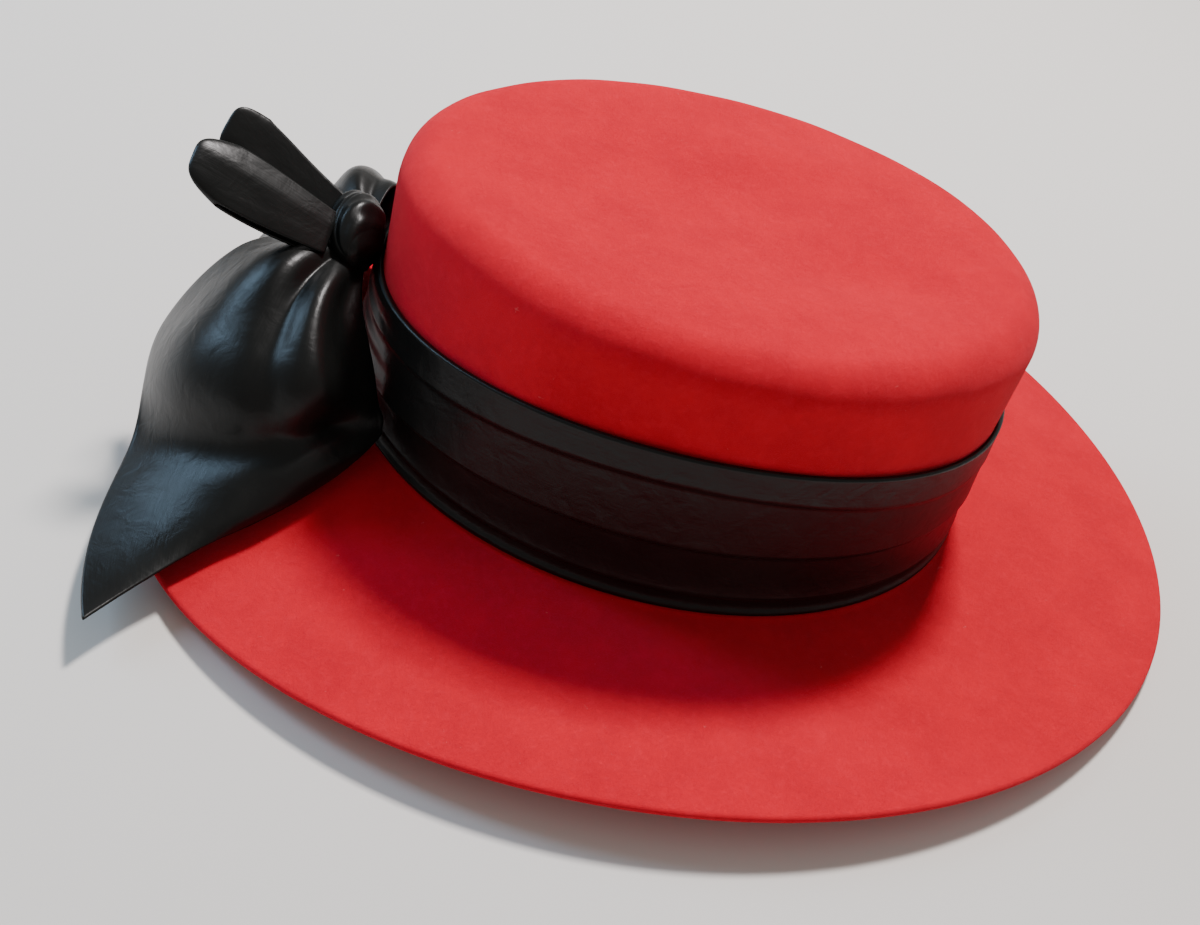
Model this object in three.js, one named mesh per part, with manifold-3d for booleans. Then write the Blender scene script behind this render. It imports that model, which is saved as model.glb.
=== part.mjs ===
// A red felt hat with a wide oval brim and a straight-sided, flat-topped crown. A pleated black satin
// band goes round the crown and is tied at the back in a knot with two short ears and two wide tails.
// The tails lie on the brim, and the longer one reaches past its edge.
// Millimetres, +Z up, +X towards the front of the hat. The wearer's right side is -Y, the near side.
import * as THREE from "three";
import { mergeVertices } from "three/addons/utils/BufferGeometryUtils.js";
import Module from "manifold-3d";

const wasm = await Module();
wasm.setup();

// Felt body: lengths run front to back and widths from side to side, measured on the outside.
const feltThickness = 2.5;
const crownBaseLength = 205;
const crownBaseWidth = 172;
const crownTopLength = 203;
const crownTopWidth = 168;
const crownHeight = 86.5;
const crownRimRadius = 12;
const crownLean = 3; // degrees that the crown tips towards the front
const crownDish = 3.5; // how far the middle of the top lies below its rim
const breakHeight = 13.5; // top of the brim above the table, where it meets the crown
const breakRadius = 5; // hollow curve between the crown and the brim
const brimLength = 370;
const brimWidth = 318;
const brimSetBack = 2.4; // the brim's oval has its middle this far behind the crown's
const brimBackCut = 17; // the brim stops this far short of its oval at the back
const brimBackSpread = 28.6; // degrees from the back over which the cut fades out
const brimSideLift = 12.8; // the brim's edge rises this much at the sides
const restFlat = 0.8; // felt pressed flat where the brim stands on the table

// Soft dents of the crown's top: places and sizes are shares of its half length and half width, and
// depths are shares of the deepest dent.
const dentDepth = 3.2;
const crownDents = [
  { ahead: 0.46, aside: -0.3, length: 0.34, width: 0.22, depth: 1 },
  { ahead: 0.05, aside: 0.12, length: 0.5, width: 0.3, depth: 0.5 },
  { ahead: -0.5, aside: -0.25, length: 0.3, width: 0.4, depth: 0.38 },
  { ahead: 0.2, aside: 0.6, length: 0.3, width: 0.16, depth: -0.38 },
];

// Satin band: its folds lie at shares of the band's height, measured from its lower edge, and rise by
// shares of the highest fold.
const satinThickness = 1.2;
const bandClearance = 0.3;
const bandLowerGap = 1.5; // between the brim's top and the band's lower edge
const bandEndHeight = 45; // at the front and back of the crown
const bandSideHeight = 54;
const bandFoldHeight = 1.6;
const bandFolds = [
  { at: 0.1, spread: 0.07, rise: 0.55, wander: 0.01 },
  { at: 0.42, spread: 0.12, rise: 1, wander: 0.05 },
  { at: 0.7, spread: 0.1, rise: 0.7, wander: -0.04 },
  { at: 0.93, spread: 0.05, rise: 0.3, wander: 0 },
];

// Bow: the knot sits on the band at the back, and everything else comes out of the knot.
const knotWidth = 30;
const knotTall = 25;
const knotDepth = 19;
const knotPress = 1.5; // how far the knot is pressed flat against the band
const knotRise = 1.08; // height of the knot's middle, as a share of the band's height at the back
const knotFolds = 5;
const knotFoldDepth = 0.7;
const seatGap = 0.3; // between pieces that touch

// Ears: turn, rise and roll are degrees, and the rest are shares of the sizes named first.
const earThickness = 1.2;
const earLength = 46;
const earWidth = 20;
const earOpening = 8; // between the two layers of the folded strip
const earAside = 8; // from the middle of the knot to the root of an ear
const earBend = 14.5; // how far an ear's tip curves up from a straight line
const ears = [
  { name: "bow_ear_near", length: 1.14, width: 1, opening: 1, aside: -1, bend: 0.14, turn: 8, rise: 30, roll: 150 },
  { name: "bow_ear_far", length: 1.01, width: 1.1, opening: 0.8, aside: 0.12, bend: 1, turn: -10, rise: 18, roll: -40 },
];
const earTipRound = 0.2; // how far the sides of an ear stop short of its tip, as a share of its length
const earRootGap = 3.2;
const earRootShare = 0.62; // width of an ear at the knot, as a share of its full width

// The tails hang from the knot on three guide lines: the edge beside the crown, the middle, and the
// edge towards the back. turn is in degrees from the back of the hat, out is the share of the way over
// the brim, and lift is the height over the brim as a share of the height of the knot.
const tailThickness = 1.2;
const tailFloorGap = 1.6; // lowest middle of the cloth over the felt
const crownEdge = [
  { along: 0, turn: 4, out: -0.03, lift: 0.88 },
  { along: 0.25, turn: 16, out: -0.03, lift: 0.8 },
  { along: 0.5, turn: 25, out: -0.03, lift: 0.58 },
  { along: 0.75, turn: 30.5, out: -0.01, lift: 0.27 },
  { along: 1, turn: 33, out: 0.04, lift: 0.12 },
];
const middleLine = [
  { along: 0, turn: 4, out: 0.076, lift: 0.98 },
  { along: 0.25, turn: 16, out: 0.26, lift: 1.04 },
  { along: 0.5, turn: 26, out: 0.44, lift: 0.84 },
  { along: 0.75, turn: 33, out: 0.595, lift: 0.36 },
  { along: 1, turn: 37.5, out: 0.77, lift: 0.12 },
];
const backEdge = [
  { along: 0, turn: 2, out: 0.152, lift: 0.98 },
  { along: 0.25, turn: 3.6, out: 0.56, lift: 1.02 },
  { along: 0.5, turn: 6, out: 0.9, lift: 0.62 },
  { along: 0.75, turn: 20, out: 0.99, lift: 0.2 },
  { along: 1, turn: 41.4, out: 1.335, lift: 0.1 },
];
// Folds run from the knot towards the hem. across is 0 at the crown edge and 1 at the back edge, drift
// and bow bend a fold's line on its way, from and to are the shares of the tail's length where it rises
// and fades, and rise is a share of the highest fold.
const tailFoldHeight = 5;
const tailFolds = [
  { across: 0.12, drift: 0, bow: 0, spread: 0.13, rise: -1, from: 0, to: 0.85 },
  { across: 0.31, drift: -0.3, bow: -2.5, spread: 0.09, rise: 0.28, from: -0.2, to: 0.9 },
  { across: 0.5, drift: -0.1, bow: -1, spread: 0.08, rise: -0.6, from: 0, to: 0.8 },
  { across: 0.75, drift: 0.35, bow: 0, spread: 0.17, rise: 0.6, from: 0, to: 0.8 },
  { across: 0.36, drift: 0, bow: 0, spread: 0.22, rise: 0.7, from: 0.66, to: 1.12 },
];
const foldMiddle = 0.42; // share of the tail's length where a fold lies at its own place across
const foldSwell = 0.28; // share of the tail's length over which a fold rises
const foldFade = 0.22;
const bulgeAlong = 0.57; // the cloth swells out just above the crease
const bulgeSpread = 0.1;
const bulgeHeight = 3;
const creaseAlong = 0.7; // where the cloth turns from hanging to lying
const creaseSpread = 0.055;
const creaseDepth = 3;
const cornerRound = 0.2; // how far the hem's corner beside the crown stops short
// Crown, middle and back are what the lifts of the guide lines are multiplied by, halfway along.
const tails = [
  {
    name: "bow_tail_near",
    side: 1,
    reach: 1,
    spread: 1,
    crown: 1,
    middle: 1,
    back: 1,
    foldShift: 0,
    foldRise: 1,
  },
  {
    name: "bow_tail_far",
    side: -1,
    reach: 0.7,
    spread: 0.96,
    crown: 1.5,
    middle: 0.98,
    back: 0.5,
    foldShift: 0.04,
    foldRise: 0.6,
  },
];

// Fineness of the faceted walls.
const roundSteps = 60; // round the felt and the band, so that their facets line up
const tailSteps = { along: 22, across: 14 };
const earSteps = { along: 20, across: 6 };
const knotSteps = { around: 18, over: 10 };

const redFelt = new THREE.MeshStandardMaterial({ color: 0xd4202c, roughness: 0.95, metalness: 0 });
const blackSatin = new THREE.MeshStandardMaterial({ color: 0x15171b, roughness: 0.35, metalness: 0 });

const { cos, sin, sqrt, max, min, exp, PI } = Math;
const rad = THREE.MathUtils.degToRad;
const mix = THREE.MathUtils.lerp;
const clamp = THREE.MathUtils.clamp;
const smooth = THREE.MathUtils.smoothstep;
const vec = (x, y, z) => new THREE.Vector3(x, y, z);
const hill = (x, middle, spread) => exp(-(((x - middle) / spread) ** 2));

// Crown: a point in the crown's own upright frame, tipped forward and set at the height of the break.
const tip = rad(crownLean);
const fromCrown = (x, y, z) =>
  vec(x * cos(tip) + z * sin(tip), y, z * cos(tip) - x * sin(tip) + breakHeight);

const wallTop = crownHeight - crownRimRadius;
const halfLengthAt = (z) => mix(crownBaseLength, crownTopLength, clamp(z / wallTop, 0, 1)) / 2;
const halfWidthAt = (z) => mix(crownBaseWidth, crownTopWidth, clamp(z / wallTop, 0, 1)) / 2;

// The crown's ring at height z, grown outward by more than zero or inward by less.
function crownRing(t, z, grow) {
  return fromCrown((halfLengthAt(z) + grow) * cos(t), (halfWidthAt(z) + grow) * sin(t), z);
}

// The hollow curve at the foot of the wall: how far it stands out at height z.
const flareAt = (z) =>
  z < breakRadius ? breakRadius - sqrt(max(breakRadius ** 2 - (breakRadius - z) ** 2, 0)) : 0;

// The flat top, from its middle (share 0) to where the rim starts to turn down (share 1).
function crownTop(t, share) {
  const a = crownTopLength / 2 - crownRimRadius;
  const b = crownTopWidth / 2 - crownRimRadius;
  const x = a * share * cos(t);
  const y = b * share * sin(t);
  const calm = (1 - share ** 2) ** 2;
  let sunk = crownDish * calm;
  for (const d of crownDents) {
    const place = ((x / a - d.ahead) / d.length) ** 2 + ((y / b - d.aside) / d.width) ** 2;
    sunk += d.depth * dentDepth * exp(-place) * min(1, (1 - share ** 2) * 3);
  }
  return fromCrown(x, y, crownHeight - sunk);
}

// The brim's top: out is 0 at the break and 1 at the edge, and goes on past the edge at its height.
function brimTop(t, out) {
  const near = crownRing(t, 0, breakRadius);
  const kept = 1 - (brimBackCut / (brimLength / 2)) * hill(t, PI, rad(brimBackSpread));
  const edge = vec(
    (brimLength / 2) * kept * cos(t) - brimSetBack,
    (brimWidth / 2) * kept * sin(t),
    feltThickness - restFlat + brimSideLift * sin(t) ** 2,
  );
  const r = clamp(out, 0, 1);
  const fall = (1 - r) ** 1.5 * (1 + 1.5 * r);
  const p = near.clone().lerp(edge, out);
  p.z = mix(edge.z, near.z, fall);
  return p;
}

// The felt's outer skin, from the middle of the top (s = 0) to the edge of the brim (s = 5).
function feltSkin(t, s) {
  if (s <= 1) return crownTop(t, s);
  if (s <= 2) {
    const turn = ((s - 1) * PI) / 2;
    return crownRing(t, wallTop + crownRimRadius * cos(turn), crownRimRadius * (sin(turn) - 1));
  }
  if (s <= 3) return crownRing(t, mix(wallTop, breakRadius, s - 2), 0);
  if (s <= 4) {
    const turn = ((s - 3) * PI) / 2;
    return crownRing(t, breakRadius * (1 - sin(turn)), breakRadius * (1 - cos(turn)));
  }
  return brimTop(t, s - 4);
}

// Normal of a skin of two parameters, found from small steps that stay inside lowest..highest.
function normalOf(skin, u, v, lowest, highest) {
  const step = 1e-3;
  const v0 = max(v - step, lowest);
  const v1 = min(v + step, highest);
  const du = skin(u + step, v).sub(skin(u - step, v));
  const dv = skin(u, v1).sub(skin(u, v0));
  return du.cross(dv).normalize();
}

// One closed body from a grid of vertex numbers and its extra faces.
class Body {
  constructor() {
    this.points = [];
    this.faces = [];
  }
  add(p) {
    this.points.push(p.x, p.y, p.z);
    return this.points.length / 3 - 1;
  }
  quad(a, b, c, d) {
    this.faces.push(a, b, c, a, c, d);
  }
  geometry() {
    const g = new THREE.BufferGeometry();
    g.setAttribute("position", new THREE.Float32BufferAttribute(this.points, 3));
    g.setIndex(this.faces);
    return g;
  }
}

// A wall of even thickness on each side of a sheet: sheet(u, v) for u and v from 0 to 1.
function sheetWall(sheet, thickness, steps) {
  const body = new Body();
  const skins = [1, -1].map((side) => {
    const rows = [];
    for (let i = 0; i <= steps.along; i++) {
      const row = [];
      for (let j = 0; j <= steps.across; j++) {
        const u = i / steps.along;
        const v = j / steps.across;
        const h = 1e-3;
        const du = sheet(min(u + h, 1), v).sub(sheet(max(u - h, 0), v));
        const dv = sheet(u, min(v + h, 1)).sub(sheet(u, max(v - h, 0)));
        const n = du.cross(dv).normalize();
        row.push(body.add(sheet(u, v).addScaledVector(n, (side * thickness) / 2)));
      }
      rows.push(row);
    }
    return rows;
  });
  const [top, under] = skins;
  const [n, m] = [steps.along, steps.across];
  for (let i = 0; i < n; i++) {
    for (let j = 0; j < m; j++) {
      body.quad(top[i][j], top[i + 1][j], top[i + 1][j + 1], top[i][j + 1]);
      body.quad(under[i][j], under[i][j + 1], under[i + 1][j + 1], under[i + 1][j]);
    }
    body.quad(top[i][0], under[i][0], under[i + 1][0], top[i + 1][0]);
    body.quad(top[i][m], top[i + 1][m], under[i + 1][m], under[i][m]);
  }
  for (let j = 0; j < m; j++) {
    body.quad(top[0][j], top[0][j + 1], under[0][j + 1], under[0][j]);
    body.quad(top[n][j], under[n][j], under[n][j + 1], top[n][j + 1]);
  }
  return body.geometry();
}

// Felt body: outer skin and inner skin, joined round the edge of the brim.
function feltBody() {
  const stations = [
    ...[0.25, 0.5, 0.75, 1],
    ...[1.33, 1.67, 2, 3],
    ...[3.33, 3.67, 4],
    ...[4.22, 4.46, 4.72, 4.95, 5],
  ];
  const body = new Body();
  const skins = [0, feltThickness].map((inward) => {
    const pole = body.add(fromCrown(0, 0, crownTop(0, 0).z - breakHeight - inward));
    const rings = stations.map((s) => {
      const ring = [];
      for (let i = 0; i < roundSteps; i++) {
        const t = (i / roundSteps) * 2 * PI;
        const n = normalOf(feltSkin, t, s, Math.ceil(s) - 1, Math.ceil(s));
        const p = feltSkin(t, s).addScaledVector(n, inward);
        if (inward && s > 4) p.z = max(p.z, 0);
        ring.push(body.add(p));
      }
      return ring;
    });
    return { pole, rings };
  });
  const [outer, inner] = skins;
  const last = stations.length - 1;
  for (let i = 0; i < roundSteps; i++) {
    const k = (i + 1) % roundSteps;
    body.faces.push(outer.pole, outer.rings[0][i], outer.rings[0][k]);
    body.faces.push(inner.pole, inner.rings[0][k], inner.rings[0][i]);
    for (let s = 0; s < last; s++) {
      const [a, b] = [outer.rings[s], outer.rings[s + 1]];
      body.quad(a[i], b[i], b[k], a[k]);
      const [c, d] = [inner.rings[s], inner.rings[s + 1]];
      body.quad(c[i], c[k], d[k], d[i]);
    }
    body.quad(outer.rings[last][i], inner.rings[last][i], inner.rings[last][k], outer.rings[last][k]);
  }
  return body.geometry();
}

// Satin band.
const bandHeightAt = (t) => mix(bandEndHeight, bandSideHeight, sin(t) ** 2);

function bandRelief(t, share) {
  let rise = 0;
  for (const f of bandFolds) {
    rise += f.rise * bandFoldHeight * hill(share, f.at + f.wander * sin(t + f.at * 9), f.spread);
  }
  return rise;
}

// A point at a share of the band's height, out from the felt by a distance.
function bandPoint(t, share, out, grow) {
  const z = bandLowerGap + share * (bandHeightAt(t) + grow);
  return crownRing(t, z, flareAt(z) + out);
}

const bandOuter = (t, share, grow) =>
  bandPoint(t, share, bandClearance + satinThickness + bandRelief(t, share) + grow, grow);

// The band's closed wall, with its outer side and its top grown by more than zero.
function hatBand(grow) {
  const outer = [0, 0.05, 0.1, 0.18, 0.26, 0.34, 0.42, 0.52, 0.62, 0.7, 0.8, 0.9, 1];
  const inner = [1, 0.5, 0.12, 0.07, 0.03, 0];
  const body = new Body();
  const loops = [];
  for (let i = 0; i < roundSteps; i++) {
    const t = (i / roundSteps) * 2 * PI;
    const out = outer.map((share) => body.add(bandOuter(t, share, grow)));
    const back = inner.map((share) => body.add(bandPoint(t, share, bandClearance, grow)));
    loops.push([...out, ...back]);
  }
  for (let i = 0; i < roundSteps; i++) {
    const a = loops[i];
    const b = loops[(i + 1) % roundSteps];
    for (let j = 0; j < a.length; j++) {
      const k = (j + 1) % a.length;
      body.quad(a[j], b[j], b[k], a[k]);
    }
  }
  return body.geometry();
}

// Knot: a wound lump of satin whose folds run round it from side to side.
const knotSeat = bandOuter(PI, knotRise, 0);
const knotMiddle = vec(knotSeat.x + knotPress - knotDepth / 2, 0, knotSeat.z);

function knotBody(grow) {
  const [around, over] = [knotSteps.around, knotSteps.over];
  const body = new Body();
  const place = (across, angle) => {
    const girth = sqrt(max(1 - across ** 2, 0));
    const fold = 1 - (knotFoldDepth / knotTall) * (1 + cos(knotFolds * angle));
    return vec(
      (knotDepth / 2 + grow) * girth * fold * cos(angle),
      (knotWidth / 2 + grow) * across,
      (knotTall / 2 + grow) * girth * fold * sin(angle),
    ).add(knotMiddle);
  };
  const near = body.add(place(-1, 0));
  const far = body.add(place(1, 0));
  const rings = [];
  for (let j = 1; j < over; j++) {
    const ring = [];
    for (let i = 0; i < around; i++) {
      ring.push(body.add(place(-cos((j / over) * PI), (i / around) * 2 * PI)));
    }
    rings.push(ring);
  }
  for (let i = 0; i < around; i++) {
    const k = (i + 1) % around;
    body.faces.push(near, rings[0][i], rings[0][k]);
    body.faces.push(far, rings[over - 2][k], rings[over - 2][i]);
    for (let j = 0; j < over - 2; j++) {
      body.quad(rings[j][i], rings[j + 1][i], rings[j + 1][k], rings[j][k]);
    }
  }
  return body.geometry();
}

// Ears: a strip of satin that goes out from the knot, turns at the tip and comes back to it.
function earSheet(ear) {
  const turn = rad(180 + ear.turn);
  const rise = rad(ear.rise);
  const ahead = vec(cos(turn) * cos(rise), sin(turn) * cos(rise), sin(rise));
  const level = vec(-ahead.y, ahead.x, 0).normalize();
  const upright = ahead.clone().cross(level).normalize();
  const flat = level.applyAxisAngle(ahead, rad(ear.roll));
  const gape = upright.clone().applyAxisAngle(ahead, rad(ear.roll));
  return (u, v) => {
    const side = 2 * v - 1;
    const loop = sin(PI * u);
    const share = loop ** 0.9 * (1 - earTipRound * side ** 4 * loop ** 3);
    const gap = mix(earRootGap, ear.opening * earOpening, loop ** 1.2);
    const half = ((ear.width * earWidth) / 2) * mix(earRootShare, 1, sin((PI / 2) * min(1, loop / 0.8)));
    return vec(knotMiddle.x, ear.aside * earAside, knotMiddle.z)
      .addScaledVector(ahead, ear.length * earLength * share)
      .addScaledVector(upright, ear.bend * earBend * share ** 2)
      .addScaledVector(gape, (gap / 2) * cos(PI * u))
      .addScaledVector(flat, half * side);
  };
}

// Tails.
const knotLift = knotMiddle.z - brimTop(PI, 0).z;

// The value of one column of a guide line's table, on a smooth curve through its rows.
function guideValue(rows, column, along) {
  const last = rows.length - 1;
  const at = clamp(along, 0, 1) * last;
  const i = min(Math.floor(at), last - 1);
  const w = at - i;
  const [p0, p1, p2, p3] = [i - 1, i, i + 1, i + 2].map((k) => rows[clamp(k, 0, last)][column]);
  const bend = 2 * p0 - 5 * p1 + 4 * p2 - p3;
  return p1 + 0.5 * w * (p2 - p0 + w * (bend + w * (3 * (p1 - p2) + p3 - p0)));
}

function tailGuide(rows, tail, along, liftScale) {
  const turn = guideValue(rows, "turn", along) * tail.spread;
  const out = guideValue(rows, "out", along) * mix(1, tail.reach, along);
  const lift = max(guideValue(rows, "lift", along) * knotLift * liftScale, tailFloorGap);
  const p = brimTop(PI + tail.side * rad(turn), out);
  p.z += lift;
  return p;
}

// How far the folds, the bulge and the crease raise a tail's cloth.
function tailRise(tail, u, v) {
  let rise = 0;
  for (const f of tailFolds) {
    const way = u - foldMiddle;
    const line = f.across + f.drift * way + f.bow * way ** 2 + tail.foldShift;
    const swell = smooth(u, f.from, f.from + foldSwell) * (1 - smooth(u, f.to - foldFade, f.to));
    rise += tail.foldRise * tailFoldHeight * f.rise * swell * hill(v, line, f.spread);
  }
  const bulge = bulgeHeight * hill(u, bulgeAlong, bulgeSpread);
  const crease = creaseDepth * hill(u, creaseAlong, creaseSpread);
  return rise + (bulge - crease) * sqrt(max(sin(PI * v), 0));
}

function tailSheet(tail) {
  const plain = (u, v) => {
    const hanging = sin(PI * u);
    const a = tailGuide(crownEdge, tail, u, mix(1, tail.crown, hanging));
    const m = tailGuide(middleLine, tail, u, mix(1, tail.middle, hanging));
    const b = tailGuide(backEdge, tail, u, mix(1, tail.back, hanging));
    a.multiplyScalar((1 - v) * (1 - 2 * v));
    return a.addScaledVector(m, 4 * v * (1 - v)).addScaledVector(b, v * (2 * v - 1));
  };
  return (along, v) => {
    const u = along * (1 - cornerRound * max(0, 1 - v / 0.3) ** 2);
    const h = 1e-3;
    const du = plain(min(u + h, 1), v).sub(plain(max(u - h, 0), v));
    const dv = plain(u, min(v + h, 1)).sub(plain(u, max(v - h, 0)));
    const n = du.cross(dv).normalize().multiplyScalar(-tail.side);
    return plain(u, v).addScaledVector(n, tailRise(tail, u, v));
  };
}

// A closed geometry as a solid, a solid as a geometry, and one piece cut back from another.
function toSolid(geometry) {
  const merged = mergeVertices(geometry, 1e-4);
  return new wasm.Manifold(
    new wasm.Mesh({
      numProp: 3,
      vertProperties: merged.attributes.position.array,
      triVerts: new Uint32Array(merged.index.array),
    }),
  );
}

function toGeometry(solid) {
  const mesh = solid.getMesh();
  const g = new THREE.BufferGeometry();
  g.setAttribute("position", new THREE.Float32BufferAttribute(mesh.vertProperties, 3));
  g.setIndex(Array.from(mesh.triVerts));
  return g;
}

function cutBack(geometry, cutters) {
  let solid = toSolid(geometry);
  for (const cutter of cutters) solid = solid.subtract(toSolid(cutter));
  const pieces = solid.decompose();
  pieces.sort((a, b) => b.volume() - a.volume());
  return toGeometry(pieces[0]);
}

// The crown's wall as a full solid, grown by the gap that the bow's pieces keep to it.
function crownClear() {
  const body = new Body();
  const heights = [0, wallTop];
  const rings = heights.map((z) => {
    const ring = [];
    for (let i = 0; i < roundSteps; i++) {
      ring.push(body.add(crownRing((i / roundSteps) * 2 * PI, z, seatGap)));
    }
    return ring;
  });
  const low = body.add(fromCrown(0, 0, 0));
  const high = body.add(fromCrown(0, 0, wallTop));
  for (let i = 0; i < roundSteps; i++) {
    const k = (i + 1) % roundSteps;
    body.quad(rings[1][i], rings[0][i], rings[0][k], rings[1][k]);
    body.faces.push(high, rings[1][i], rings[1][k]);
    body.faces.push(low, rings[0][k], rings[0][i]);
  }
  return body.geometry();
}

// The hat.
const hat = new THREE.Group();

function addPiece(name, geometry, material) {
  const mesh = new THREE.Mesh(geometry, material);
  mesh.name = name;
  hat.add(mesh);
}

const crownAndBand = [crownClear(), hatBand(seatGap)];
const besideKnot = [knotBody(seatGap), ...crownAndBand];
addPiece("felt_body", feltBody(), redFelt);
addPiece("hat_band", hatBand(0), blackSatin);
addPiece("bow_knot", cutBack(knotBody(0), crownAndBand), blackSatin);
for (const tail of tails) {
  const cloth = sheetWall(tailSheet(tail), tailThickness, tailSteps);
  addPiece(tail.name, cutBack(cloth, besideKnot), blackSatin);
}
const besideTails = tails.map((tail) => sheetWall(tailSheet(tail), tailThickness + 2 * seatGap, tailSteps));
for (const ear of ears) {
  const strip = sheetWall(earSheet(ear), earThickness, earSteps);
  addPiece(ear.name, cutBack(strip, [...besideKnot, ...besideTails]), blackSatin);
}

// The origin is the middle of the hat's footprint, on the table.
const whole = new THREE.Box3().setFromObject(hat);
const middle = whole.getCenter(vec(0, 0, 0));
hat.position.set(-middle.x, -middle.y, -whole.min.z);

export default hat;
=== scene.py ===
"""A red felt hat with a wide oval brim, a pleated black satin band, and a satin bow at the back.

Sizes are in millimetres and become metres when a mesh is made. +X is the front of the hat and -Y the
side that the camera sees.
"""

import bpy
import numpy as np
from mathutils import Matrix, Vector


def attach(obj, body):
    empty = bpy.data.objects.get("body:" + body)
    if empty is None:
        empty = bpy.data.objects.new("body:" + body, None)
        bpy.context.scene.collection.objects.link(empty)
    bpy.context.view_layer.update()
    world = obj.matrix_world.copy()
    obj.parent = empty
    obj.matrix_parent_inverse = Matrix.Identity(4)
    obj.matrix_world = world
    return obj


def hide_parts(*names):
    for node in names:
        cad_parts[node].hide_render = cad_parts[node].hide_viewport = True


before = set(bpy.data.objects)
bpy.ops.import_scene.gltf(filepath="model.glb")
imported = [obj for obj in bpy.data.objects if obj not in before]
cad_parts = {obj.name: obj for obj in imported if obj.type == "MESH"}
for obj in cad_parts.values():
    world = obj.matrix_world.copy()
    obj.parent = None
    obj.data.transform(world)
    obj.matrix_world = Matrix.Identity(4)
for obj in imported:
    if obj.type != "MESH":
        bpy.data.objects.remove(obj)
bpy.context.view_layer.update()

# Felt body: one piece of wool felt, blocked wet over a wooden form into a straight-sided crown with a
# flat, slightly sunken top, and ironed out into an oval brim. The brim's edge is cut plain, with no
# binding, and it stands on the table with its front and back.

FELT = 2.5
CROWN_FOOT = (102.5, 86.0)  # half length and half width
CROWN_TOP = (101.5, 84.0)
CROWN_HEIGHT = 86.5
RIM_RADIUS = 12.0
CROWN_LEAN = np.radians(3.0)
CROWN_DISH = 3.5
BREAK_HEIGHT = 13.5
BREAK_RADIUS = 5.0
BRIM = (185.0, 159.0)
SET_BACK = 2.4
BACK_CUT = 17.0
BACK_SPREAD = np.radians(28.6)
SIDE_LIFT = 12.8
REST_FLAT = 0.8
WALL_TOP = CROWN_HEIGHT - RIM_RADIUS
AHEAD = -6.1  # from the middle of the footprint to the middle of the crown's foot

# Soft dents in the crown's top: place and size as shares of its half length and half width.
DENTS = [
    dict(ahead=0.46, aside=-0.30, length=0.34, width=0.22, depth=3.2),
    dict(ahead=0.05, aside=0.12, length=0.50, width=0.30, depth=1.6),
    dict(ahead=-0.50, aside=-0.25, length=0.30, width=0.40, depth=1.2),
    dict(ahead=0.20, aside=0.60, length=0.30, width=0.16, depth=-1.2),
]


def mix(a, b, share):
    """a and b weighed by the share of b."""
    return a + (b - a) * share


def hill(x, middle, spread):
    """A bell curve of height one: e to the minus square of the distance in spreads."""
    return np.exp(-(((x - middle) / spread) ** 2))


def smooth(x, low, high):
    """Zero below low and one above high, with the cubic 3k^2 - 2k^3 between."""
    k = np.clip((x - low) / (high - low), 0, 1)
    return k * k * (3 - 2 * k)


def stack(x, y, z):
    """Three arrays as points."""
    return np.stack(np.broadcast_arrays(x, y, z), axis=-1)


def unit(vectors):
    """Vectors divided by their lengths."""
    return vectors / np.maximum(np.linalg.norm(vectors, axis=-1, keepdims=True), 1e-12)


def from_crown(x, y, z):
    """Points of the crown's upright frame, turned about the Y axis by the lean and raised to the break."""
    ahead = x * np.cos(CROWN_LEAN) + z * np.sin(CROWN_LEAN) + AHEAD
    return stack(ahead, y, z * np.cos(CROWN_LEAN) - x * np.sin(CROWN_LEAN) + BREAK_HEIGHT)


def crown_ring(turn, height, grow):
    """The crown's oval at a height: its half axes go evenly from foot to top, grown by grow."""
    share = np.clip(height / WALL_TOP, 0, 1)
    half_length = mix(CROWN_FOOT[0], CROWN_TOP[0], share) + grow
    half_width = mix(CROWN_FOOT[1], CROWN_TOP[1], share) + grow
    return from_crown(half_length * np.cos(turn), half_width * np.sin(turn), height + 0 * turn)


def flare(height):
    """The hollow at the crown's foot: a quarter circle, as the distance that it stands out."""
    inside = BREAK_RADIUS**2 - np.clip(BREAK_RADIUS - height, 0, None) ** 2
    return np.where(height < BREAK_RADIUS, BREAK_RADIUS - np.sqrt(np.clip(inside, 0, None)), 0.0)


def crown_top(turn, share):
    """The flat top: an oval of the share's size, sunk by a dish (1 - share^2)^2 and by bell-shaped dents."""
    half_length = CROWN_TOP[0] - RIM_RADIUS
    half_width = CROWN_TOP[1] - RIM_RADIUS
    ahead, aside = share * np.cos(turn), share * np.sin(turn)
    sunk = CROWN_DISH * (1 - share**2) ** 2
    for d in DENTS:
        away = ((ahead - d["ahead"]) / d["length"]) ** 2 + ((aside - d["aside"]) / d["width"]) ** 2
        sunk = sunk + d["depth"] * np.exp(-away) * np.clip((1 - share**2) * 3, 0, 1)
    return from_crown(half_length * ahead, half_width * aside, CROWN_HEIGHT - sunk)


def brim_top(turn, out):
    """The brim's top: straight outward from the break (out 0) to the edge (out 1) in plan, while its
    height falls from the break's to the edge's by (1 - out)^1.5 (1 + 1.5 out)."""
    near = crown_ring(turn, 0 * turn, BREAK_RADIUS)
    kept = 1 - BACK_CUT / BRIM[0] * hill(turn, np.pi, BACK_SPREAD)
    rise = FELT - REST_FLAT + SIDE_LIFT * np.sin(turn) ** 2
    edge = stack(BRIM[0] * kept * np.cos(turn) - SET_BACK + AHEAD, BRIM[1] * kept * np.sin(turn), rise)
    inside = np.clip(out, 0, 1)
    fall = (1 - inside) ** 1.5 * (1 + 1.5 * inside)
    points = mix(near, edge, np.asarray(out)[..., None])
    points[..., 2] = mix(edge[..., 2], near[..., 2], fall)
    return points


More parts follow.
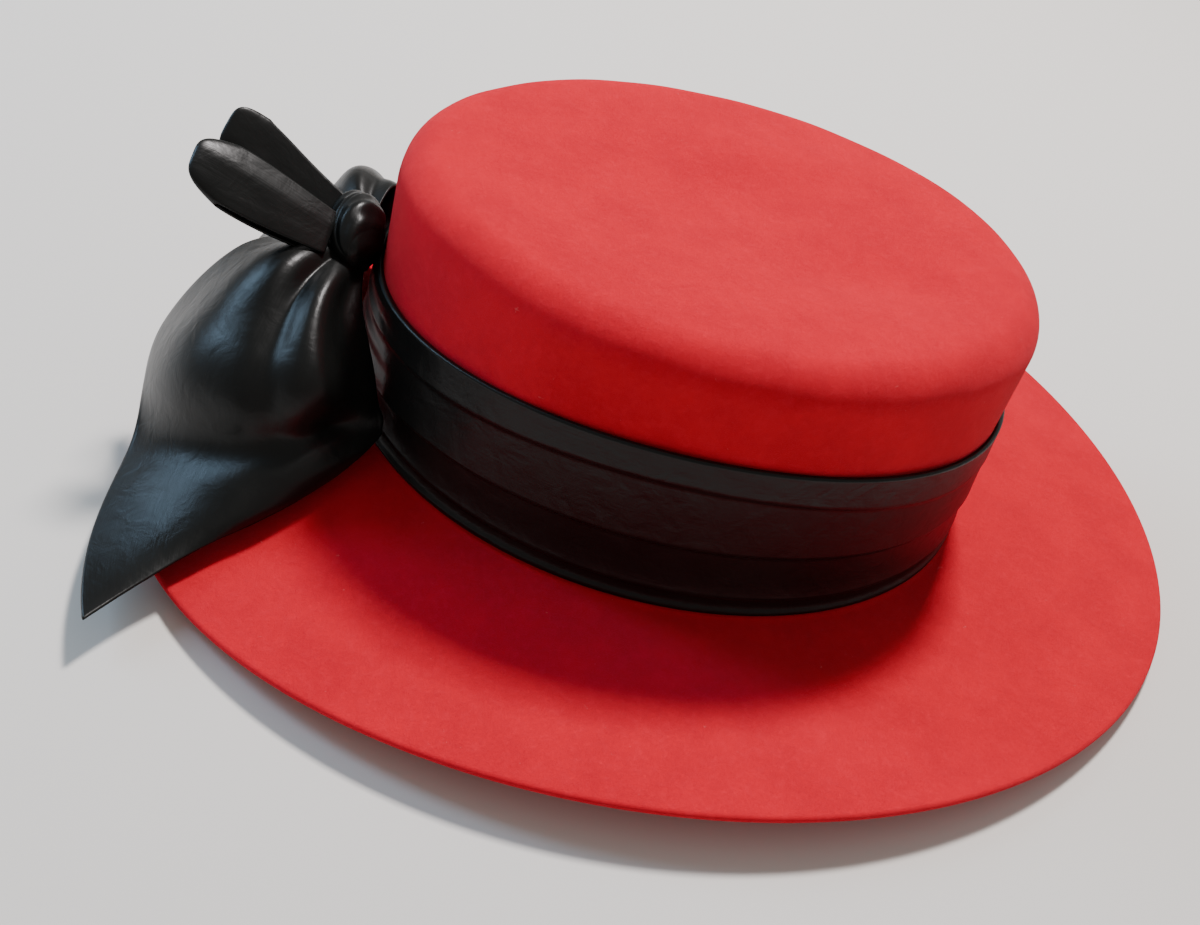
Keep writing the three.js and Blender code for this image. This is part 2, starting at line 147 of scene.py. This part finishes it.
def felt_skin(turn, station):
    """The felt's outer face by stations: 0 to 1 the top, to 2 the rim's quarter circle, to 3 the wall,
    to 4 the hollow at its foot, and to 5 the brim."""
    part = np.clip(station[None] - np.arange(5)[:, None, None], 0, 1)
    arc, foot = part[1] * np.pi / 2, part[3] * np.pi / 2
    rim = crown_ring(turn, WALL_TOP + RIM_RADIUS * np.cos(arc), RIM_RADIUS * (np.sin(arc) - 1))
    wall = crown_ring(turn, mix(WALL_TOP, BREAK_RADIUS, part[2]), 0)
    hollow = crown_ring(turn, BREAK_RADIUS * (1 - np.sin(foot)), BREAK_RADIUS * (1 - np.cos(foot)))
    faces = [crown_top(turn, part[0]), rim, wall, hollow, brim_top(turn, part[4])]
    which = np.clip(np.ceil(station).astype(int) - 1, 0, 4)[..., None]
    return np.select([which == k for k in range(5)], faces)


def waves(turn, station, seed, count, low, high):
    """Gentle unevenness between -1 and 1: a mean of sines with whole numbers of waves round the hat."""
    draw = np.random.default_rng(seed)
    total = 0 * turn
    for _ in range(count):
        around, along = draw.integers(low, high), draw.uniform(0.8, 3.0)
        total = total + np.sin(around * turn + along * station + draw.uniform(0, 2 * np.pi))
    return total / count


def grid_normals(points, loop=False):
    """Unit normals of a grid: the cross product of its steps along the rows and along the columns."""
    if loop:
        across = np.roll(points, -1, axis=1) - np.roll(points, 1, axis=1)
    else:
        across = np.gradient(points, axis=1)
    return unit(np.cross(np.gradient(points, axis=0), across))


def quads(rows, columns, close_rows=False, close_columns=False):
    """Corner numbers of the faces of a grid whose points are numbered row by row."""
    i = np.arange(rows if close_rows else rows - 1)[:, None]
    j = np.arange(columns if close_columns else columns - 1)[None]
    down, right = (i + 1) % rows, (j + 1) % columns
    corners = [i * columns + j, down * columns + j, down * columns + right, i * columns + right]
    return np.stack(np.broadcast_arrays(*corners), axis=-1).reshape(-1, 4)


def make_piece(name, points, faces, material, coordinates=None):
    """A smooth-shaded object from points in millimetres and a list of corner arrays, one for each kind
    of face. coordinates are millimetres along and across the cloth, one pair for each point."""
    mesh = bpy.data.meshes.new(name)
    corners = np.concatenate([f.ravel() for f in faces])
    sizes = np.concatenate([np.full(len(f), f.shape[1]) for f in faces])
    mesh.vertices.add(len(points))
    mesh.vertices.foreach_set("co", (points * 0.001).astype(np.float32).ravel())
    mesh.loops.add(len(corners))
    mesh.loops.foreach_set("vertex_index", corners.astype(np.int32))
    mesh.polygons.add(len(sizes))
    mesh.polygons.foreach_set("loop_start", (np.cumsum(sizes) - sizes).astype(np.int32))
    mesh.polygons.foreach_set("use_smooth", np.ones(len(sizes), bool))
    mesh.update(calc_edges=True)
    mesh.validate()
    if coordinates is not None:
        layer = mesh.uv_layers.new(name="cloth")
        layer.data.foreach_set("uv", coordinates[corners].astype(np.float32).ravel())
    mesh.materials.append(material)
    piece = bpy.data.objects.new(name, mesh)
    bpy.context.scene.collection.objects.link(piece)
    return piece


def node(tree, kind, inputs=(), **settings):
    """A shader node with its settings and its input sockets, each a value or the socket that feeds it."""
    made = tree.nodes.new(kind)
    for key, value in settings.items():
        setattr(made, key, value)
    for key, value in dict(inputs).items():
        if isinstance(value, bpy.types.NodeSocket):
            tree.links.new(value, made.inputs[key])
        else:
            made.inputs[key].default_value = value
    return made


def new_material(name):
    """An empty material, and its output node."""
    material = bpy.data.materials.new(name)
    material.use_nodes = True
    material.node_tree.nodes.clear()
    return material, node(material.node_tree, "ShaderNodeOutputMaterial")


def math(tree, operation, a, b=0.0, c=0.0):
    """One sum on two or three numbers."""
    made = node(tree, "ShaderNodeMath", {0: a, 1: b, 2: c}, operation=operation)
    return made.outputs[0]


def ramp(tree, value, low, high, start=0.0, end=1.0):
    """A value brought from low..high to start..end with soft ends."""
    inputs = {"Value": value, "From Min": low, "From Max": high, "To Min": start, "To Max": end}
    return node(tree, "ShaderNodeMapRange", inputs, interpolation_type="SMOOTHSTEP").outputs[0]


def blend(tree, share, a, b, mode="MIX"):
    """Two colours blended by a share."""
    made = node(tree, "ShaderNodeMix", data_type="RGBA", blend_type=mode)
    for key, value in {0: share, 6: a, 7: b}.items():
        if isinstance(value, bpy.types.NodeSocket):
            tree.links.new(value, made.inputs[key])
        else:
            made.inputs[key].default_value = value
    return made.outputs[2]


def noise(tree, place, scale, detail=3.0, roughness=0.5, distortion=0.0):
    """Noise of so many waves to the metre."""
    inputs = {
        "Vector": place,
        "Scale": scale,
        "Detail": detail,
        "Roughness": roughness,
        "Distortion": distortion,
    }
    return node(tree, "ShaderNodeTexNoise", inputs).outputs["Fac"]


FELT_RED = (0.70, 0.008, 0.024, 1)
FELT_DEEP = (0.50, 0.005, 0.018, 1)
FELT_PALE = (0.82, 0.022, 0.048, 1)


def felt_material():
    """Wool felt: a matted base mottled over 20 mm, tufts of 3 mm and crossing curly hairs under 1 mm.
    A hair is where distorted noise passes its middle value."""
    material, output = new_material("red_felt")
    tree = material.node_tree
    place = node(tree, "ShaderNodeTexCoord").outputs["Object"]
    mottle = noise(tree, place, 55.0, 3.0, 0.55)
    tufts = noise(tree, place, 330.0, 4.0, 0.6, 0.4)
    hairs = 0.0
    for scale, distortion in ((900.0, 1.6), (1500.0, 2.4)):
        passing = math(tree, "ABSOLUTE", math(tree, "SUBTRACT", noise(tree, place, scale, 2.0, 0.5, distortion), 0.5))
        hairs = math(tree, "ADD", hairs, ramp(tree, passing, 0.0, 0.035, 0.5, 0.0))
    colour = blend(tree, ramp(tree, mottle, 0.3, 0.7, 0.0, 0.42), FELT_RED, FELT_DEEP)
    colour = blend(tree, ramp(tree, tufts, 0.45, 0.8, 0.0, 0.30), colour, FELT_PALE)
    colour = blend(tree, math(tree, "MULTIPLY", hairs, 0.42), colour, FELT_PALE)
    lint = ramp(tree, noise(tree, place, 620.0, 2.0, 0.5, 1.0), 0.74, 0.80, 0.0, 0.30)
    colour = blend(tree, lint, colour, (0.86, 0.22, 0.21, 1))
    height = math(tree, "ADD", math(tree, "MULTIPLY", tufts, 0.5), math(tree, "MULTIPLY", hairs, 0.35))
    inputs = {"Strength": 0.6, "Distance": 0.0009, "Height": height}
    bump = node(tree, "ShaderNodeBump", inputs).outputs["Normal"]
    inputs = {
        "Base Color": colour,
        "Roughness": 0.95,
        "Specular IOR Level": 0.12,
        "Sheen Weight": 0.15,
        "Sheen Roughness": 0.45,
        "Sheen Tint": (1.0, 0.24, 0.28, 1),
        "Normal": bump,
    }
    shader = node(tree, "ShaderNodeBsdfPrincipled", inputs)
    tree.links.new(shader.outputs["BSDF"], output.inputs["Surface"])
    return material


def felt_body():
    """Outer skin, cut edge and inner skin as one closed surface. The inner skin is the outer one moved
    in by the felt's thickness, and the cut edge is a half circle between them."""
    parts = [(0.012, 1, 44), (1, 2, 16), (2, 3, 26), (3, 4, 8), (4, 5 - 1.25 / 74, 56)]
    stations = np.concatenate([np.linspace(a, b, n, endpoint=False) for a, b, n in parts])
    stations = np.append(stations, parts[-1][1])
    columns = 300
    station, turn = np.meshgrid(stations, np.arange(columns) * 2 * np.pi / columns, indexing="ij")
    outer = felt_skin(turn, station)
    normal = grid_normals(outer, loop=True)
    # Blocking by hand leaves the wall and the brim a little uneven, most of all round the rim.
    uneven = 0.45 * waves(turn, station, 4, 7, 2, 9) + 0.16 * waves(turn, 4 * station, 9, 9, 7, 23)
    outer = outer + normal * (uneven * smooth(station, 0.2, 1.2) * (1 - smooth(station, 4.6, 5)))[..., None]
    normal = grid_normals(outer, loop=True)
    inner = outer + normal * FELT
    if (normal[60, :, 2] * outer[60, :, 2]).sum() > 0:
        inner = outer - normal * FELT
        normal = -normal
    out = unit(outer[-1] - outer[-2])
    middle = (outer[-1] + inner[-1]) / 2
    angle = np.linspace(0, np.pi, 9)[1:-1, None, None]
    edge = middle - np.cos(angle) * normal[-1] * FELT / 2 + np.sin(angle) * out * FELT / 2
    points = np.concatenate([outer, edge, inner[::-1]])
    points[..., 2] = np.maximum(points[..., 2], 0)
    rows = len(points)
    flat = points.reshape(-1, 3)
    ends = np.stack([points[0].mean(0), points[-1].mean(0)])
    around = np.arange(columns)
    first = np.stack([np.full(columns, rows * columns), around, (around + 1) % columns], axis=-1)
    last = (rows - 1) * columns
    final = [np.full(columns, rows * columns + 1), last + (around + 1) % columns, last + around]
    faces = [quads(rows, columns, close_columns=True), first, np.stack(final, axis=-1)]
    return make_piece("felt_hat", np.concatenate([flat, ends]), faces, felt_material())


felt_hat = felt_body()
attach(felt_hat, "root")
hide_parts("felt_body")

# Band: a wide strip of black satin, folded lengthwise into soft pleats and drawn tight round the foot of
# the crown. Each pleat stands a little proud of the one below it, and the lowest ends in a rolled lip.

SATIN = 1.2
BAND_CLEAR = 0.3
BAND_FOOT = 1.5
BAND_ENDS = 45.0
BAND_SIDES = 54.0

# Pleats: at is the share of the band's height where a pleat's lower lip lies, proud how far it stands
# out, fade the share of the height over which it sinks back, and wander how far its line strays.
PLEATS = [
    dict(at=0.015, proud=1.1, fade=0.07, wander=0.004, turns=2, phase=0.4),
    dict(at=0.130, proud=1.3, fade=0.10, wander=0.016, turns=2, phase=1.9),
    dict(at=0.400, proud=1.7, fade=0.30, wander=0.035, turns=1, phase=2.6),
    dict(at=0.800, proud=0.5, fade=0.15, wander=0.030, turns=3, phase=0.3),
]

SATIN_BLACK = (0.0045, 0.0050, 0.0048, 1)


def satin_material():
    """Black satin: fine slubs drawn out along the threads, and a faint crumple. The slubs are on the
    cloth's own coordinates, in millimetres."""
    material, output = new_material("black_satin")
    tree = material.node_tree
    cloth = node(tree, "ShaderNodeUVMap", uv_map="cloth").outputs["UV"]
    drawn = node(tree, "ShaderNodeMapping", {"Vector": cloth, "Scale": (0.06, 1.6, 1.0)}).outputs[0]
    slubs = noise(tree, drawn, 1.0, 3.0, 0.6)
    place = node(tree, "ShaderNodeTexCoord").outputs["Object"]
    cloud = noise(tree, place, 40.0, 3.0, 0.5)
    crumple = noise(tree, place, 130.0, 3.0, 0.5, 0.6)
    colour = blend(tree, ramp(tree, cloud, 0.3, 0.7), SATIN_BLACK, (0.0070, 0.0075, 0.0070, 1))
    rough = math(tree, "ADD", ramp(tree, slubs, 0.3, 0.7, 0.29, 0.35), ramp(tree, cloud, 0.3, 0.7, 0.0, 0.05))
    height = math(tree, "ADD", math(tree, "MULTIPLY", slubs, 0.05), math(tree, "MULTIPLY", crumple, 0.55))
    inputs = {"Strength": 0.5, "Distance": 0.001, "Height": height}
    bump = node(tree, "ShaderNodeBump", inputs).outputs["Normal"]
    inputs = {
        "Base Color": colour,
        "Roughness": rough,
        "Specular IOR Level": 0.24,
        "Anisotropic": 0.45,
        "Normal": bump,
        "Tangent": node(tree, "ShaderNodeTangent", direction_type="UV_MAP", uv_map="cloth").outputs[0],
    }
    shader = node(tree, "ShaderNodeBsdfPrincipled", inputs)
    tree.links.new(shader.outputs["BSDF"], output.inputs["Surface"])
    return material


black_satin = satin_material()


def band_height(turn):
    """The band's height: the ends' at the front and back, the sides' at the sides."""
    return mix(BAND_ENDS, BAND_SIDES, np.sin(turn) ** 2)


def pleat_relief(turn, share):
    """How far the pleats stand out: above its lip each sinks back over its fade, and just below the lip
    it falls away steeply, so that the lip casts a dark line."""
    total = 0.25 + 0 * share
    gather = 1 + 0.35 * hill(np.cos(turn), -1, 0.25)
    for p in PLEATS:
        line = p["at"] + p["wander"] * np.sin(p["turns"] * turn + p["phase"])
        strength = 1 + 0.35 * np.sin(p["turns"] * turn + 2.1 * p["phase"])
        above = np.exp(-np.clip(share - line, 0, None) / p["fade"])
        total = total + p["proud"] * gather * strength * above * smooth(share, line - 0.022, line + 0.012)
    # Near the bow the cloth is drawn together into narrow folds.
    narrow = 0.5 + 0.5 * np.cos(2 * np.pi * (share * 6.5 + 0.15 * np.sin(3 * turn)))
    return total + 0.7 * narrow * smooth(-np.cos(turn), 0.86, 0.99)


def band_point(turn, share, out):
    """A point at a share of the band's height, out from the felt by a distance."""
    height = BAND_FOOT + share * band_height(turn)
    return crown_ring(turn, height, flare(height) + out)


def band():
    """A ring whose cross-section runs up the pleated outer face, over the top edge and down inside."""
    columns, faces = 420, 84
    turn = np.arange(columns)[None] * 2 * np.pi / columns
    share = np.linspace(0, 1, faces)[:, None] + 0 * turn
    turn = turn + 0 * share
    outer = band_point(turn, share, BAND_CLEAR + SATIN + pleat_relief(turn, share))
    inner = band_point(turn, share, BAND_CLEAR + 0 * share)
    lip = unit(outer[-1] - outer[-3])
    over = (outer[-1] + inner[-1]) / 2 + lip * 0.35
    low = (outer[0] + inner[0]) / 2 - unit(outer[2] - outer[0]) * 0.3
    points = np.concatenate([outer, over[None], inner[::-1], low[None]])
    along = turn[0] * (CROWN_FOOT[0] + CROWN_FOOT[1]) / 2
    rows = len(points)
    up = np.concatenate([share[:, 0] * 50, [51], 50 - share[:, 0] * 50, [-1]])
    cloth = stack(along[None] + 0 * up[:, None], up[:, None], 0 * up[:, None])[..., :2]
    corners = quads(rows, columns, True, True)[:, ::-1]
    return make_piece("satin_band", points.reshape(-1, 3), [corners], black_satin, cloth.reshape(-1, 2))


satin_band = band()
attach(satin_band, "root")
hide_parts("hat_band")

# Knot: the ends of the sash are crossed and pulled tight at the back of the band. The cloth is wound
# into a small hard lump whose folds run to both sides, where the tails come out.

KNOT_WIDTH = 30.0
KNOT_TALL = 25.0
KNOT_DEPTH = 19.0
KNOT_PRESS = 1.5
KNOT_RISE = 1.08
knot_seat = band_point(np.array([np.pi]), np.array([KNOT_RISE]), np.array([BAND_CLEAR + SATIN + 0.5]))[0]
KNOT = np.array([knot_seat[0] + KNOT_PRESS - KNOT_DEPTH / 2, 0.0, knot_seat[2]])


def knot():
    """A lump whose girth falls towards both sides as (1 - across^2)^0.35, with rounded folds that run
    from side to side and twist a little on the way."""
    rows, columns = 90, 128
    across, angle = np.meshgrid(
        -np.cos(np.linspace(0.05, np.pi - 0.05, rows)), np.arange(columns) * 2 * np.pi / columns, indexing="ij"
    )
    girth = (1 - across**2) ** 0.5
    twist = angle + 0.9 * across + 0.25 * np.sin(2 * angle + 1.0)
    fold = np.abs(np.cos(2.5 * twist + 0.5)) ** 0.6
    fine = 0.5 + 0.5 * np.cos(9 * twist + 3 * across)
    size = 1 - 0.09 * (1 - fold) - 0.05 * fine
    x = KNOT_DEPTH / 2 * girth * size * np.cos(angle)
    z = KNOT_TALL / 2 * girth * size * np.sin(angle)
    points = stack(x, KNOT_WIDTH / 2 * across, z) + KNOT
    flat = points.reshape(-1, 3)
    ends = np.stack([points[0].mean(0), points[-1].mean(0)])
    around = np.arange(columns)
    first = np.stack([np.full(columns, rows * columns), (around + 1) % columns, around], axis=-1)
    last = (rows - 1) * columns
    final = [np.full(columns, rows * columns + 1), last + around, last + (around + 1) % columns]
    corners = quads(rows, columns, close_columns=True)[:, ::-1]
    cloth = stack(across * 18, angle * 11, 0 * angle)[..., :2].reshape(-1, 2)
    cloth = np.concatenate([cloth, np.zeros((2, 2))])
    faces = [corners, first, np.stack(final, axis=-1)]
    return make_piece("satin_knot", np.concatenate([flat, ends]), faces, black_satin, cloth)


satin_knot = knot()
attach(satin_knot, "root")
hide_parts("bow_knot")

# Ears: two short strips of satin that leave the knot, turn over at a soft tip and go back into it.

EAR_THICKNESS = 0.9
EAR_LENGTH = 46.0
EAR_WIDTH = 20.0
EAR_OPENING = 8.0
EAR_TIP_ROUND = 0.2
EAR_ROOT_GAP = 3.2
EAR_ROOT_SHARE = 0.62
EARS = [
    dict(
        name="ear_near", node="bow_ear_near", length=1.14, width=1.0, opening=1.0,
        aside=-9, turn=8, rise=28, bend=2.0, roll=150,
    ),
    dict(
        name="ear_far", node="bow_ear_far", length=1.01, width=1.1, opening=0.8,
        aside=0, turn=-10, rise=16, bend=13.5, roll=-40,
    ),
]


def turned(vector, axis, angle):
    """A vector turned about an axis by an angle in degrees."""
    return np.array(Matrix.Rotation(np.radians(angle), 3, Vector(axis)) @ Vector(vector))


def ear_sheet(ear, along, across):
    """The middle of the folded strip: it goes out as sin(pi along)^0.9 and back, its two layers apart by
    an opening that is widest near the tip, and its sides stop short of the tip."""
    turn, rise = np.radians(180 + ear["turn"]), np.radians(ear["rise"])
    ahead = np.array([np.cos(turn) * np.cos(rise), np.sin(turn) * np.cos(rise), np.sin(rise)])
    level = unit(np.array([-ahead[1], ahead[0], 0.0]))
    flat = turned(level, ahead, ear["roll"])
    gape = turned(np.cross(ahead, level), ahead, ear["roll"])
    side = 2 * across - 1
    loop = np.sin(np.pi * along)
    reach = ear["length"] * EAR_LENGTH * loop**0.9 * (1 - EAR_TIP_ROUND * side**4 * loop**3)
    gap = mix(EAR_ROOT_GAP, ear["opening"] * EAR_OPENING, loop**1.2)
    wide = mix(EAR_ROOT_SHARE, 1.0, np.sin(np.pi / 2 * np.clip(loop / 0.8, 0, 1)))
    half = ear["width"] * EAR_WIDTH / 2 * wide
    # A crease runs down each layer, and the edges curl back a little.
    curl = (0.8 * hill(side, 0.25, 0.35) - 1.6 * side**2) * loop
    points = KNOT + np.array([0, ear["aside"], 0])
    points = points + reach[..., None] * ahead + (half * side)[..., None] * flat
    raised = ear["bend"] * (reach / (ear["length"] * EAR_LENGTH)) ** 2
    points = points + raised[..., None] * np.cross(ahead, level)
    return points + ((gap / 2 + curl) * np.cos(np.pi * along))[..., None] * gape


def cloth_piece(name, middle, thickness, lengths):
    """A sheet with rounded edges: two skins on each side of the middle surface, joined by a rim that
    stands half a thickness out. lengths are the cloth's length and width in millimetres."""
    rows, columns = middle.shape[:2]
    normal = grid_normals(middle)
    count = rows * columns
    number = np.arange(count).reshape(rows, columns)
    ring = [number[:, 0], number[-1, 1:], number[-2::-1, -1], number[0, -2:0:-1]]
    ring = np.concatenate(ring)
    inward = middle.copy()
    inward[0], inward[-1] = middle[1], middle[-2]
    inward[:, 0], inward[:, -1] = inward[:, 1], inward[:, -2]
    flat, away = middle.reshape(-1, 3), (middle - inward).reshape(-1, 3)
    rim = flat[ring] + unit(away[ring]) * thickness / 2
    half = normal.reshape(-1, 3) * thickness / 2
    points = np.concatenate([flat + half, flat - half, rim])
    top = quads(rows, columns)
    following = np.roll(ring, -1)
    edge = 2 * count + np.arange(len(ring))
    edge_next = np.roll(edge, -1)
    upper = np.stack([ring, following, edge_next, edge], axis=-1)[:, ::-1]
    lower = np.stack([ring + count, edge, edge_next, following + count], axis=-1)[:, ::-1]
    along, across = np.meshgrid(np.linspace(0, lengths[0], rows), np.linspace(0, lengths[1], columns), indexing="ij")
    cloth = np.stack([along, across], axis=-1).reshape(-1, 2)
    cloth = np.concatenate([cloth, cloth, cloth[ring]])
    faces = [top, top[:, ::-1] + count, upper, lower]
    return make_piece(name, points, faces, black_satin, cloth)


for ear in EARS:
    way = np.linspace(-1, 1, 161)
    along, across = np.meshgrid(0.5 + 0.46 * np.sign(way) * np.abs(way) ** 1.6, np.linspace(0, 1, 40), indexing="ij")
    strip = (2.1 * EAR_LENGTH * ear["length"], EAR_WIDTH * ear["width"])
    piece = cloth_piece(ear["name"], ear_sheet(ear, along, across), EAR_THICKNESS, strip)
    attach(piece, "root")
    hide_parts(ear["node"])

# Tails: the two ends of the sash, cut on a slant. They come gathered out of the knot, bell out over the
# brim in deep folds, crease where they touch down, and lie on the felt. The points reach past its edge.

TAIL_THICKNESS = 0.9
TAIL_FLOOR = 1.6
knot_lift = KNOT[2] - brim_top(np.array([np.pi]), np.array([0.0]))[0, 2]

# Guide lines from the knot (first row) to the hem (last row): the edge beside the crown, the middle and
# the edge towards the back. turn is in degrees from the back of the hat, out the share of the way over
# the brim, and lift the height over the brim as a share of the knot's.
CROWN_EDGE = dict(
    turn=[4, 16, 25, 30.5, 33], out=[-0.03, -0.03, -0.03, -0.01, 0.04], lift=[0.88, 0.80, 0.58, 0.27, 0.12]
)
MIDDLE_LINE = dict(
    turn=[4, 16, 26, 33, 37.5], out=[0.076, 0.26, 0.44, 0.595, 0.77], lift=[0.98, 1.04, 0.84, 0.36, 0.12]
)
BACK_EDGE = dict(
    turn=[2, 3.6, 6, 20, 41.4], out=[0.152, 0.56, 0.90, 0.99, 1.335], lift=[0.98, 1.02, 0.62, 0.20, 0.10]
)

# Folds: across is 0 beside the crown and 1 at the back, drift and bow bend a fold's line on its way from
# the knot, start and end are the shares of the tail's length where it rises and fades, and height is in
# millimetres.
FOLDS = [
    dict(across=0.12, drift=0.0, bow=0.0, spread=0.13, height=-5.0, start=0.0, end=0.85),
    dict(across=0.31, drift=-0.3, bow=-2.5, spread=0.09, height=1.4, start=-0.2, end=0.9),
    dict(across=0.50, drift=-0.1, bow=-1.0, spread=0.08, height=-3.0, start=0.0, end=0.8),
    dict(across=0.75, drift=0.35, bow=0.0, spread=0.17, height=3.0, start=0.0, end=0.8),
    dict(across=0.36, drift=0.0, bow=0.0, spread=0.22, height=3.5, start=0.66, end=1.12),
]
FOLD_START = 0.28
FOLD_END = 0.22
BULGE_ALONG = 0.57
BULGE_SPREAD = 0.10
BULGE_HEIGHT = 3.0
CREASE_ALONG = 0.70
CREASE_SPREAD = 0.055
CREASE_DEPTH = 3.0
CORNER_ROUND = 0.20
TAILS = [
    dict(
        name="tail_near", node="bow_tail_near", side=1, reach=1.0, spread=1.0,
        crown=1.0, middle=1.0, back=1.0, shift=0.0, rise=1.0,
    ),
    dict(
        name="tail_far", node="bow_tail_far", side=-1, reach=0.7, spread=0.96,
        crown=1.5, middle=0.98, back=0.5, shift=0.04, rise=0.6,
    ),
]


def through(values, at):
    """A smooth curve through evenly spaced values: each stretch is the Catmull-Rom cubic of its two
    values and their neighbours."""
    values = np.asarray(values, float)
    place = np.clip(at, 0, 1) * (len(values) - 1)
    i = np.minimum(place.astype(int), len(values) - 2)
    w = place - i
    a, b, c, d = [values[np.clip(i + k, 0, len(values) - 1)] for k in (-1, 0, 1, 2)]
    return b + 0.5 * w * (c - a + w * (2 * a - 5 * b + 4 * c - d + w * (3 * (b - c) + d - a)))


def guide(line, tail, along, lift_scale):
    """A point of a guide line: over the brim at its turn and out, raised by its lift."""
    turn = np.pi + tail["side"] * np.radians(through(line["turn"], along) * tail["spread"])
    out = through(line["out"], along) * mix(1.0, tail["reach"], along)
    points = brim_top(turn, out)
    points[..., 2] += np.maximum(through(line["lift"], along) * knot_lift * lift_scale, TAIL_FLOOR)
    return points


def plain_tail(tail, along, across):
    """The tail without folds: at each place along it, the parabola through its three guide lines."""
    hanging = np.sin(np.pi * along)
    crown = guide(CROWN_EDGE, tail, along, mix(1.0, tail["crown"], hanging))
    middle = guide(MIDDLE_LINE, tail, along, mix(1.0, tail["middle"], hanging))
    back = guide(BACK_EDGE, tail, along, mix(1.0, tail["back"], hanging))
    v = across[..., None]
    return crown * (1 - v) * (1 - 2 * v) + middle * 4 * v * (1 - v) + back * v * (2 * v - 1)


def tail_sheet(tail, along, across):
    """The plain tail, raised along its normal by folds that swell and fade on their way from the knot to
    the hem, bulged above the crease where it touches down and sunk in the crease itself."""
    along = along * (1 - CORNER_ROUND * np.clip(1 - across / 0.3, 0, None) ** 2)
    plain = plain_tail(tail, along, across)
    rise = 0 * along
    for f in FOLDS:
        line = f["across"] + f["drift"] * (along - 0.42) + f["bow"] * (along - 0.42) ** 2 + tail["shift"]
        swell = smooth(along, f["start"], f["start"] + FOLD_START) * (1 - smooth(along, f["end"] - FOLD_END, f["end"]))
        rise = rise + tail["rise"] * f["height"] * swell * hill(across, line, f["spread"])
    crease = BULGE_HEIGHT * hill(along, BULGE_ALONG, BULGE_SPREAD)
    crease = crease - CREASE_DEPTH * hill(along, CREASE_ALONG, CREASE_SPREAD)
    rise = rise + crease * np.sin(np.pi * across) ** 0.5
    return plain + grid_normals(plain) * (-tail["side"] * rise)[..., None]


for tail in TAILS:
    along, across = np.meshgrid(np.linspace(0.07, 1, 190), np.linspace(0, 1, 150), indexing="ij")
    middle = tail_sheet(tail, along, across)
    piece = cloth_piece(tail["name"], middle, TAIL_THICKNESS, (150, 130))
    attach(piece, "root")
    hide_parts(tail["node"])

# Floor, light and camera: a plain pale table top, a soft light from behind on the right, a wide cool
# one from the left, and the camera where the photographer stood beside the hat.


def stage_floor():
    """A wide flat sheet under the hat."""
    corners = np.array([[-4000.0, -4000, 0], [4000, -4000, 0], [4000, 4000, 0], [-4000, 4000, 0]])
    corners[:, 2] = -0.05
    material, output = new_material("pale_floor")
    tree = material.node_tree
    inputs = {"Base Color": (0.74, 0.71, 0.67, 1), "Roughness": 0.7}
    shader = node(tree, "ShaderNodeBsdfPrincipled", inputs)
    tree.links.new(shader.outputs["BSDF"], output.inputs["Surface"])
    return make_piece("floor", corners, [np.array([[0, 1, 2, 3]])], material)


stage_floor()


def area_light(name, towards, distance, size, power, colour):
    """A light of so many metres across and up, at a distance from the hat in the direction given, and
    aimed at the hat."""
    data = bpy.data.lights.new(name, "AREA")
    data.shape = "RECTANGLE"
    data.size, data.size_y = size
    data.energy = power
    data.color = colour
    lamp = bpy.data.objects.new(name, data)
    direction = Vector(towards).normalized()
    lamp.location = direction * distance
    lamp.rotation_euler = direction.to_track_quat("Z", "Y").to_euler()
    bpy.context.scene.collection.objects.link(lamp)


area_light("key_light", (0.17, 0.43, 0.89), 1.6, (0.22, 0.22), 39.0, (1.0, 0.95, 0.94))
area_light("cool_light", (-0.77, 0.28, 0.57), 1.5, (0.30, 0.90), 11.0, (0.46, 0.72, 1.0))

world = bpy.data.worlds.new("soft_room")
bpy.context.scene.world = world
world.use_nodes = True
world.node_tree.nodes["Background"].inputs["Color"].default_value = (1.0, 0.97, 0.93, 1)
world.node_tree.nodes["Background"].inputs["Strength"].default_value = 0.36

camera_data = bpy.data.cameras.new("camera")
camera_data.sensor_width = 36.0
camera_data.lens = 39.0
camera = bpy.data.objects.new("camera", camera_data)
right, up, back = (0.983, 0.008, 0.182), (-0.143, 0.654, 0.743), (-0.113, -0.757, 0.644)
turn = Matrix((right, up, back)).transposed().to_quaternion()
camera.rotation_euler = turn.to_euler()
camera.location = (-0.0761, -0.3500, 0.2886)
bpy.context.scene.collection.objects.link(camera)
bpy.context.scene.camera = camera
